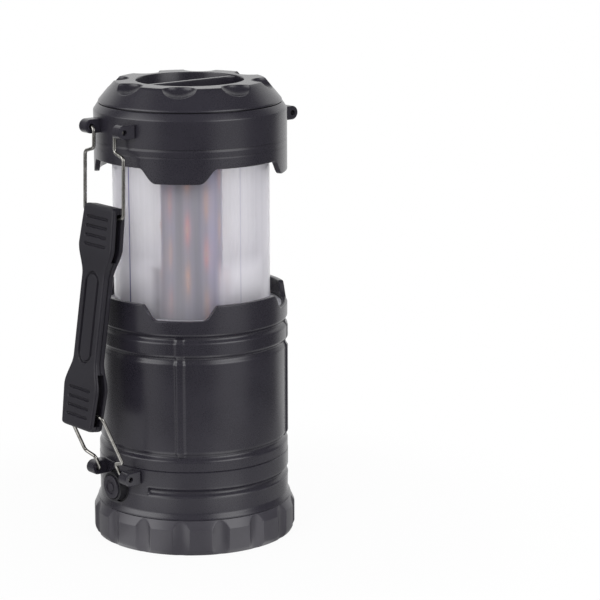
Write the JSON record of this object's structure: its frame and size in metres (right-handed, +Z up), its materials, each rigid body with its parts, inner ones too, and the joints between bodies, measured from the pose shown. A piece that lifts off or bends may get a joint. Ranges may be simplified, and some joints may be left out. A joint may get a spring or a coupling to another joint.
{
  "type": "camping lantern",
  "caption": "Pop-up camping lantern: a scalloped cap and clear tube slide down into a ribbed body; wire bails carry a moulded side grip, and the fluted base twists off.",
  "frame": {"origin": "on the lantern's axis at the underside of the base", "axes": "+Z up along the slide of the cap, -X towards the grip and the button"},
  "size_m": [0.1078, 0.0858, 0.1935],
  "materials": {
    "base_plastic": "satin charcoal",
    "shell_plastic": "satin charcoal with a fine metallic fleck",
    "bezel_plastic": "satin black",
    "grip_plastic": "matt black",
    "inner_plastic": "matt dark grey",
    "guide_plastic": "matt light grey",
    "reflector_plastic": "glossy white",
    "column_plastic": "matt white",
    "clear_plastic": "clear with fine upright ribs",
    "flex_circuit": "pale grey circuit film",
    "led_amber": "amber lens",
    "circuit_board": "green solder mask",
    "button_rubber": "soft matt black",
    "seal_rubber": "matt black",
    "cell_can": "plain metal can",
    "contact_metal": "nickel plated",
    "screw_steel": "zinc plated",
    "wire_steel": "drawn steel wire"
  },
  "bodies": {
    "lamp_body": {"body_shell": "shell_plastic", "guide_ring": "guide_plastic", "battery_cage": "inner_plastic", "aa_cells": "cell_can", "upper_contacts": "contact_metal", "driver_board": "circuit_board", "push_switch": "inner_plastic", "switch_board": "circuit_board", "button_bezel": "bezel_plastic"},
    "lamp_cap": {"cap_skirt": "shell_plastic", "cap_crown": "shell_plastic", "inner_plate": "reflector_plastic", "plate_screws": "screw_steel", "light_tube": "clear_plastic", "tube_stop": "inner_plastic", "led_former": "column_plastic", "led_sleeve": "flex_circuit", "leds": "led_amber"},
    "twist_cover": {"base_cover": "base_plastic", "cover_gasket": "seal_rubber", "contact_carrier": "inner_plastic", "cover_contact": "contact_metal", "contact_springs": "contact_metal"},
    "push_button": {"button": "button_rubber", "switch_plunger": "inner_plastic"},
    "top_bail": {"upper_bail": "wire_steel"},
    "handle_grip": {"grip_front": "grip_plastic", "grip_back": "grip_plastic"},
    "bottom_bail": {"lower_bail": "wire_steel"}
  },
  "joints": [
    {"name": "cap_slide", "type": "slide", "parent": "lamp_body", "child": "lamp_cap", "axis": [0, 0, -1], "range_m": [0, 0.056]},
    {"name": "cover_twist", "type": "hinge", "parent": "lamp_body", "child": "twist_cover", "pos_m": [0, 0, 0], "axis": [0, 0, -1], "range_deg": [0, 40]},
    {"name": "button_press", "type": "slide", "parent": "lamp_body", "child": "push_button", "axis": [1, 0, 0], "range_m": [0, 0.001], "stiffness_N_per_m": 800},
    {"name": "top_bail_swing", "type": "hinge", "parent": "lamp_cap", "child": "top_bail", "pos_m": [-0.0437, 0, 0.1768], "axis": [0, 1, 0], "range_deg": [0, 68.03]},
    {"name": "grip_swing", "type": "hinge", "parent": "top_bail", "child": "handle_grip", "pos_m": [-0.0446, 0, 0.1415], "axis": [0, 1, 0], "range_deg": [-79.52, 0]},
    {"name": "bottom_bail_swing", "type": "hinge", "parent": "lamp_body", "child": "bottom_bail", "pos_m": [-0.0436, 0, 0.0318], "axis": [0, 1, 0], "range_deg": [-47.95, 0]}
  ],
  "couplings": [
    {"joint": "top_bail_swing", "follows": "cap_slide", "rad_per_m": 21.109},
    {"joint": "grip_swing", "follows": "cap_slide", "rad_per_m": -24.69},
    {"joint": "bottom_bail_swing", "follows": "cap_slide", "rad_per_m": -14.851}
  ]
}
